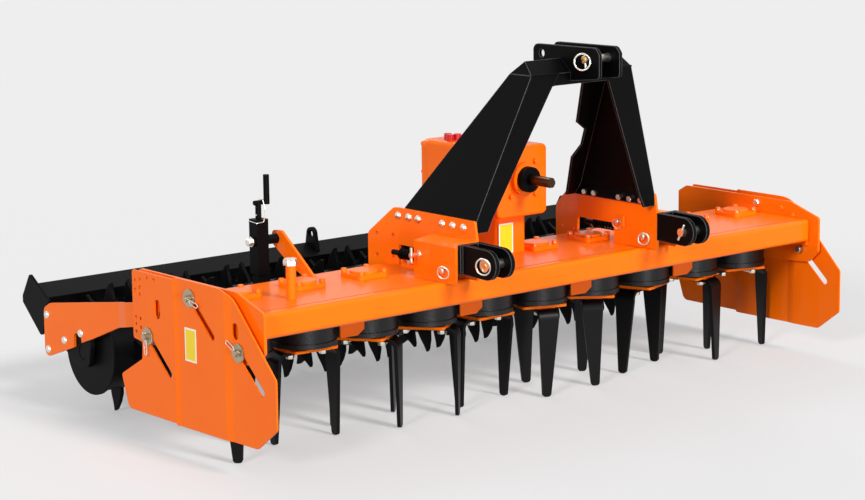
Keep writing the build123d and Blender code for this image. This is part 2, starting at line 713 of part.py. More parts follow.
def levelling_bar():
    """Angle bar across the machine with an upright in each jack tube."""
    half = UPRIGHT_SIDE / 2
    bar = block(-BAR_HALF, BAR_HALF, BAR_FRONT, BAR_FRONT + BAR_T, BAR_LOW, BAR_TOP)
    bar += block(-BAR_HALF, BAR_HALF, BAR_FRONT, BAR_FRONT + BAR_SHELF, BAR_TOP - BAR_T, BAR_TOP)
    post = block(JACK_X - half, JACK_X + half, JACK_Y - half, JACK_Y + half, BAR_TOP, UPRIGHT_TOP)
    return bar + [post, other_side(post)]


def roller_arm():
    """Right roller arm: plate with a joggle and a round eye at its pivot."""
    y0 = PIVOT_Y - ARM_EYE_R
    y1 = max(p[0] for p in ARM_OUTLINE)
    z0 = min(p[1] for p in ARM_OUTLINE)
    z1 = PIVOT_Z + ARM_EYE_R
    band = plan_plate(polygon((
        (ARM_FRONT_X, y0), (ARM_FRONT_X, ARM_JOG[0]), (ARM_REAR_X, ARM_JOG[1]), (ARM_REAR_X, y1),
        (ARM_REAR_X + ARM_T, y1), (ARM_REAR_X + ARM_T, ARM_JOG[1]), (ARM_FRONT_X + ARM_T, ARM_JOG[0]),
        (ARM_FRONT_X + ARM_T, y0),
    )), z0, z1)
    face = outline(ARM_OUTLINE) + Pos(PIVOT_Y, PIVOT_Z) * Circle(ARM_EYE_R)
    face -= Pos(PIVOT_Y, PIVOT_Z) * Circle(PIVOT_R + PIVOT_GAP)
    y, z, r = ARM_NOTCH
    face -= Pos(y, z) * Circle(r)
    face -= Pos(y, z - ARM_NOTCH_DEPTH / 2) * Rectangle(2 * r, ARM_NOTCH_DEPTH)
    return band & side_plate(face, ARM_REAR_X - 1, ARM_FRONT_X + ARM_T + 1)


def roller_hanger():
    """Right bearing plate under the arm that carries the roller's axle."""
    face = outline(HANGER_OUTLINE) - Pos(ROLLER_Y, ROLLER_Z) * Circle(AXLE_R + AXLE_GAP)
    return side_plate(face, ARM_REAR_X - HANGER_T, ARM_REAR_X)


def packer_roller():
    """Tube with end discs, stub axles and staggered rows of hooked teeth."""
    drum = rod_x(DRUM_R, -DRUM_HALF, DRUM_HALF, 0, 0)
    drum -= rod_x(DRUM_R - DRUM_WALL, -DRUM_HALF, DRUM_HALF, 0, 0)
    disc = rod_x(DISC_R, DRUM_HALF, DRUM_HALF + DISC_T, 0, 0)
    disc += rod_x(AXLE_R, DRUM_HALF + DISC_T, ARM_REAR_X - AXLE_SHORT, 0, 0)
    drum += [disc, other_side(disc)]
    points = []
    for r, angle in TOOTH_OUTLINE:
        r -= TOOTH_SINK if r <= DRUM_R else 0
        points.append((r * sin(radians(angle)), -r * cos(radians(angle))))
    step = 360 / TEETH_PER_ROW
    teeth = []
    for row in range(TOOTH_ROWS):
        x = (row - (TOOTH_ROWS - 1) / 2) * TOOTH_PITCH
        tooth = side_plate(polygon(points), x - TOOTH_T / 2, x + TOOTH_T / 2)
        for k in range(TEETH_PER_ROW):
            teeth.append(Rot(step * (k + (row % 2) / 2), 0, 0) * tooth)
    return Pos(0, ROLLER_Y, ROLLER_Z) * (drum + teeth)


def beam_place():
    """Place of the scraper beam, turned to face the roller's axis."""
    return Pos(0, BEAM_Y, BEAM_Z) * Rot(BEAM_TURN, 0, 0)


def scraper_beam():
    """Square tube with a bolting fin at each end."""
    half = ARM_REAR_X - FIN_T
    bore = BEAM_SIDE - 2 * BEAM_WALL
    tube = Box(2 * half, BEAM_SIDE, BEAM_SIDE) - Box(2 * half, bore, bore)
    fin = side_plate(outline(FIN_OUTLINE), half, ARM_REAR_X)
    return beam_place() * tube + [fin, other_side(fin)]


def scraper_blades():
    """One flat blade in each space between two rows of teeth."""
    reach = hypot(BEAM_Y - ROLLER_Y, BEAM_Z - ROLLER_Z) - BLADE_END_R
    length = reach - BEAM_SIDE / 2
    blades = []
    for k in range(TOOTH_ROWS - 1):
        x = (k - (TOOTH_ROWS - 2) / 2) * TOOTH_PITCH
        blades.append(beam_place() * Pos(x, -(reach + BEAM_SIDE / 2) / 2, 0) * Box(BLADE_W, length, BLADE_T))
    return group(blades)


def lifting_lug():
    """Eye plate welded over the top edge of the beam."""
    face = polygon((
        (LUG_Y - LUG_FOOT, BEAM_Z), (LUG_Y - LUG_R, LUG_Z), (LUG_Y + LUG_R, LUG_Z), (LUG_Y + LUG_FOOT, BEAM_Z),
    ))
    face += Pos(LUG_Y, LUG_Z) * Circle(LUG_R)
    face -= Pos(LUG_Y, LUG_Z) * Circle(LUG_HOLE_R)
    lug = side_plate(face, LUG_X - LUG_T / 2, LUG_X + LUG_T / 2)
    return lug - beam_place() * Box(4 * abs(LUG_X), BEAM_SIDE, BEAM_SIDE)


def both_sides(name, piece):
    """One node on each side, made as the right-hand piece."""
    return {name + "_right": piece, name + "_left": other_side(piece)}


def pair(piece):
    """Right-hand piece and its twin as one node."""
    return group([piece, other_side(piece)])


head = tower_head()
nodes = {
    "gear_trough": gear_trough(),
    "deck_lid": block(-RAIL_HALF, RAIL_HALF, RAIL_LIP + LID_GROOVE, TROUGH_REAR, RAIL_TOP - LID_T, RAIL_TOP),
    "front_rail": front_rail(),
    "bearing_covers": bearing_covers(),
    "rotor_housings": rotor_housings(),
    "rotor_guards": rotor_guards(),
    "oil_filler": oil_filler(),
    "gearbox_pedestal": gearbox_pedestal(),
    "gearbox_housing": gearbox_housing(),
    "gearbox_rear_cover": gearbox_rear_cover(),
    "gearbox_breathers": gearbox_breathers(),
    "input_seal": input_seal(),
    "pto_shaft": pto_shaft(),
    "tower_head": head,
    "top_link_plates": top_link_plates(head),
    "top_link_pin": rod_x(TOP_PIN_R, -TOP_PIN_HALF, TOP_PIN_HALF, TOP_PIN_Y, TOP_PIN_Z),
    "link_pins": pair(link_pin()),
    "jack_brackets": pair(jack_bracket()),
    "jack_tubes": pair(jack_tube()),
    "jack_cranks": pair(jack_crank()),
    "levelling_bar": levelling_bar(),
    "roller_hangers": pair(roller_hanger()),
    "packer_roller": packer_roller(),
    "scraper_beam": scraper_beam(),
    "scraper_blades": scraper_blades(),
    "lifting_lug": lifting_lug(),
}
nodes |= both_sides("end_plate", end_plate())
nodes |= both_sides("guide_pins", guide_pins())
nodes |= both_sides("deflector", deflector())
nodes |= both_sides("hitch_bracket", hitch_bracket())
nodes |= both_sides("lower_fork", lower_fork())
nodes |= both_sides("tower_leg", tower_leg())
nodes |= both_sides("roller_arm", roller_arm())
nodes |= {f"rotor_{index + 1:02d}": rotor(index) for index in range(ROTOR_COUNT)}

for name, piece in nodes.items():
    export_step(Pos(0, -Y_MIDDLE, 0) * piece, f"parts/{name}.step")
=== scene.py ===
import bmesh
import bpy
import json
import numpy as np
from math import cos, radians, sin
from mathutils import Matrix, Vector


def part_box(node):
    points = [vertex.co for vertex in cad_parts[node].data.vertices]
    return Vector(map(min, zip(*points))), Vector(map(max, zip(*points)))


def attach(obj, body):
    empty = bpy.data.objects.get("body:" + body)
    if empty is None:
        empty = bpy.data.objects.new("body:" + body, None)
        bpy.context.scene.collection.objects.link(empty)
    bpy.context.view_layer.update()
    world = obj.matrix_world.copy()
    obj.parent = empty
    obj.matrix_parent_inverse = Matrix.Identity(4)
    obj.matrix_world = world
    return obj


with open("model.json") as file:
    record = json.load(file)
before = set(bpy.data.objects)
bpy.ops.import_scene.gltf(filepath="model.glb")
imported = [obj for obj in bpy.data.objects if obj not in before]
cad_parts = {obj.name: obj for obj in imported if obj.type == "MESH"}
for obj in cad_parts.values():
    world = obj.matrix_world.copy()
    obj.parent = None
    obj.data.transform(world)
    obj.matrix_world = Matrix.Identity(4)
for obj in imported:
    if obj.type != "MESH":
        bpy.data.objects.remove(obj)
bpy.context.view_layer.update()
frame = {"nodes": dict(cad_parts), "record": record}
NODES = frame["nodes"]

# Places and sizes of small pieces are in millimetres, y counted from the line of rotors.
# The row's origin lies this far behind that line.
Y_MIDDLE = 311.5
X, Y, Z = range(3)
LOW, HIGH = range(2)
SIDES = (-1, 1)


def reach(name, axis, end):
    """Where a CAD node ends on its low or high side along an axis, in millimetres."""
    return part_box(name)[end][axis] * 1000 + (Y_MIDDLE if axis == Y else 0)


# Camera, fitted to the photograph, in metres from the line of rotors and in degrees
PHOTO_SIZE = (865, 500)
CAMERA_AT = (-5.2701, -5.9526, 1.9623)
CAMERA_YAW = 40.01
CAMERA_PITCH = 10.285
CAMERA_ROLL = -0.626
FOCAL_PX = 2373.3
CENTRE_PX = (446.8, 247.0)

# Studio: the floor in metres, colours as the camera sees them and as the object gathers them
FLOOR_SIZE = 60.0
FLOOR_DROP = 0.002
FLOOR_SEEN = "AEAEAE"
FLOOR_UNSEEN = "8C8C8C"
FLOOR_GLOW = 0.4
BACKDROP_SEEN = "EEEEEE"
BACKDROP_UNSEEN = "B4B4B6"

# Meshes: points closer than this many metres merge, edges sharper than this many degrees stay hard
MERGE = 1e-6
SHARP_FROM = 38.0

# Widths across flats of the hexagon heads
M10_FLATS = 17.0
M12_FLATS = 19.0
M16_FLATS = 24.0

# Rotors, with the angles in degrees at which the tines stand in the photograph, from the left
ROTOR_COUNT = 10
ROTOR_PITCH = 250.0
ROTOR_ANGLES = (45, 176, 127, 130, 2, 71, 54, 19, 106, 162)
ROTOR_PLATE_Z = (302.5, 312.5)
TINE_ROOT_Z = 291.0
TINE_BOLT_OUT = 62.0
TINE_BOLT_HALF = 19.0

# Thickness of the brackets, tower webs and jack plates
PLATE = 10.0

# Deck
DECK_TOP = reach("deck_lid", Z, HIGH)
RAIL_HALF = reach("front_rail", X, HIGH)
# The bead in the lid's groove is painted shade, a dark red stand-in for the groove's shadow.
SHADE_BEAD_RADIUS = 4.0
SHADE_BEAD_SINK = 4.5
SHADE_BEAD_SHORT = 2.0
GROOVE_Y = reach("deck_lid", Y, LOW) - SHADE_BEAD_RADIUS
COVER_FLANGE = 14.0
COVER_TOP = DECK_TOP + COVER_FLANGE
COVER_BOLT_AT = 46.0
COVER_WASHER = 2.0
FILLER_AT = (-1016.0, -135.0, 606.0)

# Fork housings and tower, with pins as (y, z)
BRACKET_IN = reach("hitch_bracket_right", X, LOW)
BRACKET_OUT = BRACKET_IN + PLATE
HOOD_OUT = reach("hitch_bracket_right", X, HIGH)
HOOD_ROOF_Z = 631.0
STRIP_Z = 664.0
STRIP_YS = (86, 31, -18, -141, -193, -247)
LEG_WEB_IN = reach("tower_leg_right", X, HIGH) - PLATE
LOCK_PIN = (-130.0, 574.0)
LOCK_PIN_IN = 382.0
LOCK_HANDLE_X = 532.0
LOCK_RING_X = 390.0
LOCK_TAB = (-156.0, 580.0)
SHANK_PIN = (-257.0, 538.0)
SHANK_PIN_IN = 380.0
SHANK_RING_XS = (508.0, 388.0)
SPRING_X = 440.0
SPRING_Z = 547.0
SPRING_Y = (-102.0, 28.0)
SPRING_TURNS = 9
SPRING_RADIUS = 15.0
LINK_PIN = (-436.0, 576.0)
FORK_OUT = reach("link_pins", X, HIGH)
FORK_PIN_IN = 386.0
TOP_PIN = (-445.0, 1193.0)
TOP_PIN_HALF = reach("top_link_pin", X, HIGH)

# Gearbox, with half the spacing of the rear bolts as (x, z)
PTO_Z = 762.0
BOX_FRONT = -75.0
NECK_BOLT_RADIUS = 78.0
NECK_BOLT_ANGLES = (45, 135, 225, 315)
BOX_MIDDLE_Z = 752.0
REAR_PLATE_Y = reach("gearbox_rear_cover", Y, HIGH)
REAR_COVER_Y = REAR_PLATE_Y - 20.0
REAR_RIM_HALF = (90.0, 97.0)
REAR_CAP_HALF = (52.0, 60.0)

# Levelling jacks
JACK_AT = (840.0, 277.0)
JACK_HALF = 22.5
JACK_TOP = reach("jack_tubes", Z, HIGH)
JACK_STUB_OUT = reach("jack_tubes", X, HIGH)
JACK_STUB_Z = 607.0
JACK_PLATE_OUT = reach("jack_brackets", X, HIGH)
JACK_PLATE_IN = JACK_PLATE_OUT - PLATE

# Sides: guide pins as (y, z, outer face of the washer, direction the clip points in, in y and z)
GUIDE_PINS = ((44, 511, 1277, -1.0, -0.18), (278, 354, 1282, -0.12, -1.0), (-203, 378, 1271, 0.92, 0.4))
CLIP_STAND_OFF = 6.0
CLIP_LENGTH = 52.0
CLIP_TAIL = 14.0
CLIP_GAP = 13.0
CLIP_DIP = 9.0
CLIP_DIP_AT = 8.0
CLIP_DIP_WIDTH = 11.0
PIVOT = (222.0, 431.0)
PIVOT_OUT = reach("end_plate_right", X, HIGH)

# Fixings on the inner face of each end plate, as (y, z)
END_PLATE_IN = reach("end_plate_right", X, LOW)
END_NUT = (-8.0, 533.0)
END_BOLTS = ((-128, 527), (-184, 506))
END_STOP = (-226.0, 387.0)

# Roller frame, with bolts and beam as (y, z) and the beam's turn in degrees
ARM_OUT = 1250.0
ARM_BOLTS = ((946, 317), (838, 246), (733, 286), (944, 198))
BEAM = (1036.0, 342.0)
BEAM_TURN = 22.3
BEAM_SIDE = 95.0
BLADE_COUNT = 19
BLADE_PITCH = 118.0
BLADE_BOLT_HALF = 20.0
BLADE_BOLT_BACK = 20.0
BLADE_BOLT_LIFT = 3.0

# Blank stickers, as the middle of the panel's face
DEFLECTOR_STICKER = (-1272.0, 47.0, 362.0)
PEDESTAL_STICKER = (-30.0, reach("gearbox_pedestal", Y, LOW), 554.0)
STICKER_BORDER = 5.0

# Welds, as the first and last place of each run
FINE_BEAD = 3.5
BROAD_BEAD = 4.0
BEAD_RIPPLE = 0.14
BEAD_PITCH = 9.0
BRACKET_FOOT_YS = ((-232, -112), (90, 134))
HOOD_FOOT_YS = (-300, -108)
HOOD_ROOF_YS = (-308, -108)
JACK_FOOT_YS = (76, 134)
SHANK_SEAM_XS = (416, 464)
SHANK_SEAM_Y = -325.0
SHANK_SEAM_ZS = (540, 618)
LEG_TOP_IN = reach("tower_leg_right", X, LOW)
LEG_TOP = reach("tower_leg_right", Z, HIGH)
LEG_SEAM_FOOT = (124.0, -360.2)
HEAD_OUT = reach("tower_head", X, HIGH)
HEAD_FRONT = reach("tower_head", Y, LOW)
HEAD_FOOT = reach("tower_head", Z, LOW)
LINK_PLATE_XS = (39, 51)
LINK_PLATE_SLOPES = (((-366, 1148), (-319, 1189)), ((-315, 1189), (-283, 1163)))


def linear(code):
    """sRGB hex to linear red, green, blue and alpha."""
    c = np.array([int(code[i:i + 2], 16) for i in (0, 2, 4)]) / 255
    c = np.where(c <= 0.04045, c / 12.92, ((c + 0.055) / 1.055) ** 2.4)
    return (*c.tolist(), 1.0)


def node(tree, kind, links=None, **settings):
    """Adds a shader node; links maps an input to a socket or a constant."""
    n = tree.nodes.new(kind)
    for key, value in settings.items():
        setattr(n, key, value)
    for key, value in (links or {}).items():
        if isinstance(value, bpy.types.NodeSocket):
            tree.links.new(value, n.inputs[key])
        else:
            n.inputs[key].default_value = value
    return n


def surface(name, **sockets):
    """A material with one principled shader; returns the material, its tree and the shader."""
    mat = bpy.data.materials.new(name)
    mat.use_nodes = True
    tree = mat.node_tree
    shader = tree.nodes["Principled BSDF"]
    for key, value in sockets.items():
        shader.inputs[key.replace("_", " ")].default_value = value
    return mat, tree, shader


def grain(tree, shader, size_mm, depth_mm, edge_mm, detail=2.0):
    """Bump of a grain size and depth over edges that are eased by a small radius, all in millimetres."""
    place = node(tree, "ShaderNodeTexCoord").outputs["Object"]
    noise = node(tree, "ShaderNodeTexNoise", {"Vector": place, "Scale": 1000 / size_mm, "Detail": detail})
    edge = node(tree, "ShaderNodeBevel", {"Radius": edge_mm / 1000}, samples=6)
    bump = node(tree, "ShaderNodeBump", {
        "Height": noise.outputs["Fac"], "Distance": depth_mm / 1000, "Strength": 1.0,
        "Normal": edge.outputs["Normal"],
    })
    tree.links.new(bump.outputs["Normal"], shader.inputs["Normal"])


def mottle(tree, shader, code, deep, size_mm):
    """Two near tones of one colour in soft patches of a size in millimetres."""
    place = node(tree, "ShaderNodeTexCoord").outputs["Object"]
    patch = node(tree, "ShaderNodeTexNoise", {"Vector": place, "Scale": 1000 / size_mm, "Detail": 3.0})
    mix = node(tree, "ShaderNodeMix", {
        "Factor": patch.outputs["Fac"], "A": linear(code), "B": linear(deep),
    }, data_type="RGBA")
    tree.links.new(mix.outputs["Result"], shader.inputs["Base Color"])


def gloss_paint(name, code, deep):
    """Sprayed enamel on sheet steel: a clear gloss with a faint orange-peel surface."""
    mat, tree, shader = surface(
        name, Roughness=0.34, Specular_IOR_Level=0.12, Coat_Weight=0.18, Coat_Roughness=0.08,
    )
    mottle(tree, shader, code, deep, size_mm=180)
    grain(tree, shader, size_mm=5, depth_mm=0.03, edge_mm=2.0)
    return mat


def black_paint(name, code, deep):
    """Sprayed black enamel: dark, with narrow highlights along its edges."""
    mat, tree, shader = surface(name, Roughness=0.45, Specular_IOR_Level=0.06)
    mottle(tree, shader, code, deep, size_mm=120)
    grain(tree, shader, size_mm=5, depth_mm=0.05, edge_mm=5.0)
    return mat


def painted_highlight_plate(name, code, highlight_code, edge_mm):
    """Black enamel on folded plate, with painted highlights: a pale grey tone laid along every fold and edge
    as pale lines, standing in for the glints of light there. An edge is where the rounded normal leaves the
    flat one."""
    mat, tree, shader = surface(name, Roughness=0.45, Specular_IOR_Level=0.06)
    rounded = node(tree, "ShaderNodeBevel", {"Radius": edge_mm / 1000}, samples=8).outputs["Normal"]
    flat = node(tree, "ShaderNodeNewGeometry").outputs["Normal"]
    facing = node(tree, "ShaderNodeVectorMath", {0: rounded, 1: flat}, operation="DOT_PRODUCT")
    # Painted highlight mask: 0 on flat faces, rising to 1 where the rounded normal turns away from the flat
    # one.
    edge = node(tree, "ShaderNodeMapRange", {
        "Value": facing.outputs["Value"], "From Min": 0.98, "From Max": 0.86, "To Min": 0.0, "To Max": 1.0,
    })
    mix = node(tree, "ShaderNodeMix", {
        "Factor": edge.outputs["Result"], "A": linear(code), "B": linear(highlight_code),
    }, data_type="RGBA")
    tree.links.new(mix.outputs["Result"], shader.inputs["Base Color"])
    grain(tree, shader, size_mm=5, depth_mm=0.05, edge_mm=edge_mm)
    return mat


def casting(name, code, deep):
    """Black paint over a sand-cast surface, whose grit breaks the highlights. The grit is drawn coarser than
    sand, so that it shows."""
    mat, tree, shader = surface(name, Roughness=0.4, Specular_IOR_Level=0.35)
    mottle(tree, shader, code, deep, size_mm=40)
    grain(tree, shader, size_mm=9, depth_mm=0.7, edge_mm=2.0, detail=4.0)
    return mat


def plated(name, code, roughness):
    """Zinc, brass or bare steel with fine handling marks."""
    mat, tree, shader = surface(name, Base_Color=linear(code), Metallic=1.0, Roughness=roughness)
    grain(tree, shader, size_mm=4, depth_mm=0.04, edge_mm=0.6)
    return mat


def film(name, code):
    """Smooth plastic of one even colour, half matt: vinyl film, a moulded plug, or a dark bead of painted
    shade in a groove.
    """
    return surface(name, Base_Color=linear(code), Roughness=0.4)[0]


def rotor_paint(name, plate_low, plate_high):
    """Enamel in orange on the carrier plate, between two heights in millimetres, and black on the tines."""
    mat, tree, shader = surface(name, Roughness=0.4, Specular_IOR_Level=0.14)
    place = node(tree, "ShaderNodeTexCoord").outputs["Object"]
    height = node(tree, "ShaderNodeSeparateXYZ", {"Vector": place}).outputs["Z"]
    low, high = plate_low / 1000, plate_high / 1000
    above = node(tree, "ShaderNodeMath", {0: height, 1: low}, operation="GREATER_THAN").outputs[0]
    below = node(tree, "ShaderNodeMath", {0: height, 1: high}, operation="LESS_THAN").outputs[0]
    both = node(tree, "ShaderNodeMath", {0: above, 1: below}, operation="MULTIPLY").outputs[0]
    mix = node(tree, "ShaderNodeMix", {
        "Factor": both, "A": linear(BLACK), "B": linear(ORANGE),
    }, data_type="RGBA")
    tree.links.new(mix.outputs["Result"], shader.inputs["Base Color"])
    grain(tree, shader, size_mm=8, depth_mm=0.15, edge_mm=2.5)
    return mat


ORANGE = "FF7406"
BLACK = "050506"
MATERIALS = {
    "orange paint": gloss_paint("orange paint", ORANGE, "FB6A05"),
    "black paint": black_paint("black paint", BLACK, "090909"),
    # Painted highlight: pale grey lines along the edges of the tower, link plates and forks.
    "black plate with painted edge highlights": painted_highlight_plate("black plate with painted edge highlights", BLACK, "5C5C5C", edge_mm=5.0),
    "black casting": casting("black casting", "0A0A0B", "141313"),
    "zinc plate": plated("zinc plate", "E6E1D5", roughness=0.28),
    "dull zinc": plated("dull zinc", "B0A48D", roughness=0.34),
    "brass": plated("brass", "D9A35C", roughness=0.3),
    "oiled steel": plated("oiled steel", "4E382A", roughness=0.3),
    "red plastic": film("red plastic", "C81414"),
    "rotor paint": rotor_paint("rotor paint", *ROTOR_PLATE_Z),
    # Painted shade: the dark red of the shaded groove between lid and rail.
    "painted groove shade": film("painted groove shade", "4A1206"),
    "yellow film": film("yellow film", "F2D21E"),
    "white film": film("white film", "F4F4F0"),
}
SLOT_LOOKS = {
    "orange_paint": "orange paint",
    "black_paint": "black paint",
    "zinc": "zinc plate",
    "steel": "oiled steel",
    "plug": "red plastic",
}
NODE_LOOKS = {
    "rotor_housings": "black casting",
    "oil_filler": "orange paint",
    "guide_pins_left": "dull zinc",
    "guide_pins_right": "dull zinc",
    # The tower, link plates and forks get black paint with painted edge highlights.
    "tower_leg_left": "black plate with painted edge highlights",
    "tower_leg_right": "black plate with painted edge highlights",
    "tower_head": "black plate with painted edge highlights",
    "top_link_plates": "black plate with painted edge highlights",
    "lower_fork_left": "black plate with painted edge highlights",
    "lower_fork_right": "black plate with painted edge highlights",
}


def look_of(name, slot):
    """The material a CAD node is shown in."""
    if name.removeprefix("rotor_").isdigit():
        return "rotor paint"
    return NODE_LOOKS.get(name, SLOT_LOOKS[slot])


def dress(obj, look):
    """Gives an object one material."""
    obj.data.materials.clear()
    obj.data.materials.append(MATERIALS[look])


for part in frame["record"]["subparts"]:
    dress(NODES[part["node"]], look_of(part["node"], part["material_slot"]))


def turned(profile, sides, spin=0.0):
    """Surface of revolution about Z: each (radius, height) of a profile in mm is carried round by equal
    steps."""
    r, h = np.array(profile, float).T
    a = np.arange(sides) * 2 * np.pi / sides + spin
    return np.stack([np.outer(r, np.cos(a)), np.outer(r, np.sin(a)), np.repeat(h[:, None], sides, 1)], -1)


def swept(path, radius, sides=8, across=(0, 0, 1), ripple=0.0, pitch=1.0):
    """Round section carried along a path in mm. The section stands square to the path's direction, its first
    spoke as near as it can to `across`; a ripple swells the radius by a sine of the run along the path."""
    path = np.asarray(path, float)
    ahead = np.gradient(path, axis=0)
    run = np.cumsum(np.r_[0, np.linalg.norm(np.diff(path, axis=0), axis=1)])
    ahead /= np.linalg.norm(ahead, axis=1)[:, None]
    first = np.array(across, float) - (ahead @ np.array(across, float))[:, None] * ahead
    first /= np.linalg.norm(first, axis=1)[:, None]
    second = np.cross(ahead, first)
    r = radius * (1 + ripple * np.sin(2 * np.pi * run / pitch))
    a = np.arange(sides) * 2 * np.pi / sides
    spokes = first[:, None] * np.cos(a)[None, :, None] + second[:, None] * np.sin(a)[None, :, None]
    rings = path[:, None] + r[:, None, None] * spokes
    ends = np.repeat(path[[0, -1], None], sides, 1)
    return np.concatenate([ends[:1], rings, ends[1:]])


def hoop(radius, wire, steps=28, sides=8):
    """Ring of wire in the XY plane: a round section carried round a circle, first row repeated to close
    it."""
    a = np.linspace(0, 2 * np.pi, steps + 1)
    b = np.arange(sides) * 2 * np.pi / sides
    r = radius + wire * np.cos(b)
    rise = np.tile(wire * np.sin(b), (steps + 1, 1))
    return np.stack([np.outer(np.cos(a), r), np.outer(np.sin(a), r), rise], -1)


def eased(points, bend, step=1.5):
    """Path through points with eased corners: even steps along the straight runs, then a running mean."""
    points = np.array(points, float)
    run = np.r_[0, np.cumsum(np.linalg.norm(np.diff(points, axis=0), axis=1))]
    s = np.linspace(0, run[-1], int(run[-1] / step) + 2)
    line = np.stack([np.interp(s, run, points[:, k]) for k in range(3)], 1)
    width = 2 * max(int(bend / step / 2), 1) + 1
    padded = np.pad(line, ((width // 2, width // 2), (0, 0)), "edge")
    kernel = np.ones(width) / width
    return np.stack([np.convolve(padded[:, k], kernel, "valid") for k in range(3)], 1)


def placed(shape, at, axis=(0, 0, 1)):
    """Copies of a shape: its Z is turned to each axis and its origin moved to each place."""
    at = np.atleast_2d(np.array(at, float))
    z = np.broadcast_to(np.array(axis, float), at.shape)
    z = z / np.linalg.norm(z, axis=1)[:, None]
    aside = np.where(np.abs(z[:, 2:]) > 0.9, [1.0, 0, 0], [0, 0, 1.0])
    x = np.cross(aside, z)
    x /= np.linalg.norm(x, axis=1)[:, None]
    turn = np.stack([x, np.cross(z, x), z], -1)
    return np.einsum("nij,uvj->nuvi", turn, shape) + at[:, None, None]


def piece(name, look, body, *grids, slot=None):
    """One mesh from grids of points in mm: neighbours on a grid make a face, columns close on themselves,
    doubles merge at poles and seams."""
    points, faces, start = [], [], 0
    for grid in grids:
        grid = grid if grid.ndim == 4 else grid[None]
        index = np.arange(grid[..., 0].size).reshape(grid.shape[:3]) + start
        beside = np.roll(index, -1, 2)
        corners = [index[:, :-1], beside[:, :-1], beside[:, 1:], index[:, 1:]]
        faces.append(np.stack(corners, -1).reshape(-1, 4))
        points.append(grid.reshape(-1, 3))
        start += index.size
    places = (np.concatenate(points) - (0, Y_MIDDLE, 0)) / 1000
    mesh = bpy.data.meshes.new(name)
    mesh.from_pydata(places.tolist(), [], np.concatenate(faces).tolist())
    work = bmesh.new()
    work.from_mesh(mesh)
    bmesh.ops.remove_doubles(work, verts=work.verts, dist=MERGE)
    bmesh.ops.recalc_face_normals(work, faces=work.faces)
    work.to_mesh(mesh)
    work.free()
    mesh.shade_smooth()
    mesh.set_sharp_from_angle(angle=radians(SHARP_FROM))
    obj = bpy.data.objects.new(name, mesh)
    bpy.context.scene.collection.objects.link(obj)
    dress(obj, look)
    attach(obj, body)
    return obj


def hex_head(flats, height, low=0.0):
    """Hexagon head: a six-sided turned profile with a chamfered top."""
    r = flats / np.sqrt(3)
    top = low + height
    return turned(((0, low), (r, low), (r, low + 0.8 * height), (0.87 * r, top), (0, top)), sides=6)


def bevelled(radius, height, bevel, low, sides):
    """Cylinder with both rims cut back by a bevel: a turned profile."""
    inner, top = radius - bevel, low + height
    return turned((
        (0, low), (inner, low), (radius, low + bevel), (radius, top - bevel), (inner, top), (0, top),
    ), sides)


def disc(radius, thick, low=0.0):
    """Flat round washer with an eased rim."""
    return bevelled(radius, thick, thick / 4, low, sides=24)


def dome(radius, height):
    """Domed head: a quarter ellipse turned about its axis."""
    a = np.radians(np.linspace(0, 90, 6))
    return turned(np.r_[[(0, 0)], np.c_[radius * np.cos(a), height * np.sin(a)]], sides=18)


def bar(radius, length, low=0.0):
    """Round bar with chamfered ends."""
    return bevelled(radius, length, radius / 5, low, sides=16)


def slab(width, height, thick):
    """Flat rectangle of film: a four-sided turned profile stretched to its width and height."""
    corner = 0.5 ** 0.5
    shape = turned(((0, 0), (corner, 0), (corner, thick), (0, thick)), sides=4, spin=np.pi / 4)
    return shape * (width, height, 1)


def hairpin():
    """Spring clip of wire in the XY plane: a straight leg, a round bend and a leg that dips towards the first
    by a bell curve where it grips."""
    u = np.linspace(-CLIP_TAIL, CLIP_LENGTH, 24)
    a = np.linspace(-np.pi / 2, np.pi / 2, 12)[1:-1]
    back = u[::-1]
    dip = CLIP_GAP - CLIP_DIP * np.exp(-((back - CLIP_DIP_AT) / CLIP_DIP_WIDTH) ** 2)
    bend = CLIP_GAP / 2
    path = np.concatenate([
        np.c_[u, 0 * u],
        np.c_[CLIP_LENGTH + bend * np.cos(a), bend + bend * np.sin(a)],
        np.c_[back, dip],
    ])
    return np.c_[path, 0 * path[:, 0]]


def outward(count=1):
    """Axes that point away from the middle on each side, as many times over as there are places a side."""
    return np.repeat([(s, 0, 0) for s in SIDES], count, 0)


def rotor_x(index):
    """Place of a rotor across the machine."""
    return (index - (ROTOR_COUNT - 1) / 2) * ROTOR_PITCH


def cover_bolts():
    """Four bolts on each bearing cover."""
    at = [
        (rotor_x(i) + sx * COVER_BOLT_AT, sy * COVER_BOLT_AT, COVER_TOP)
        for i in range(ROTOR_COUNT) for sx in SIDES for sy in SIDES
    ]
    washers = placed(disc(radius=11, thick=COVER_WASHER), at)
    heads = placed(hex_head(M10_FLATS, height=11, low=COVER_WASHER), at)
    piece("cover_bolts", "orange paint", "frame", washers, heads, slot="orange_paint")


def groove_shade_bead():
    """Painted shade: a dark red bead along the groove between the lid and the front rail, standing in for the
    groove's shadow.
    """
    ends = [(s * (RAIL_HALF - SHADE_BEAD_SHORT), GROOVE_Y, DECK_TOP - SHADE_BEAD_SINK) for s in SIDES]
    piece("groove_shade_bead", "painted groove shade", "frame", swept(np.linspace(*ends, 40), SHADE_BEAD_RADIUS))


def filler_cap():
    """Hexagon cap with a dished top on the oil filler."""
    cap = turned(((0, 0), (24, 0), (24, 15), (21, 21), (13, 21), (11, 20.5), (0, 20.5)), sides=6)
    piece("filler_cap", "zinc plate", "frame", placed(cap, FILLER_AT), slot="zinc")


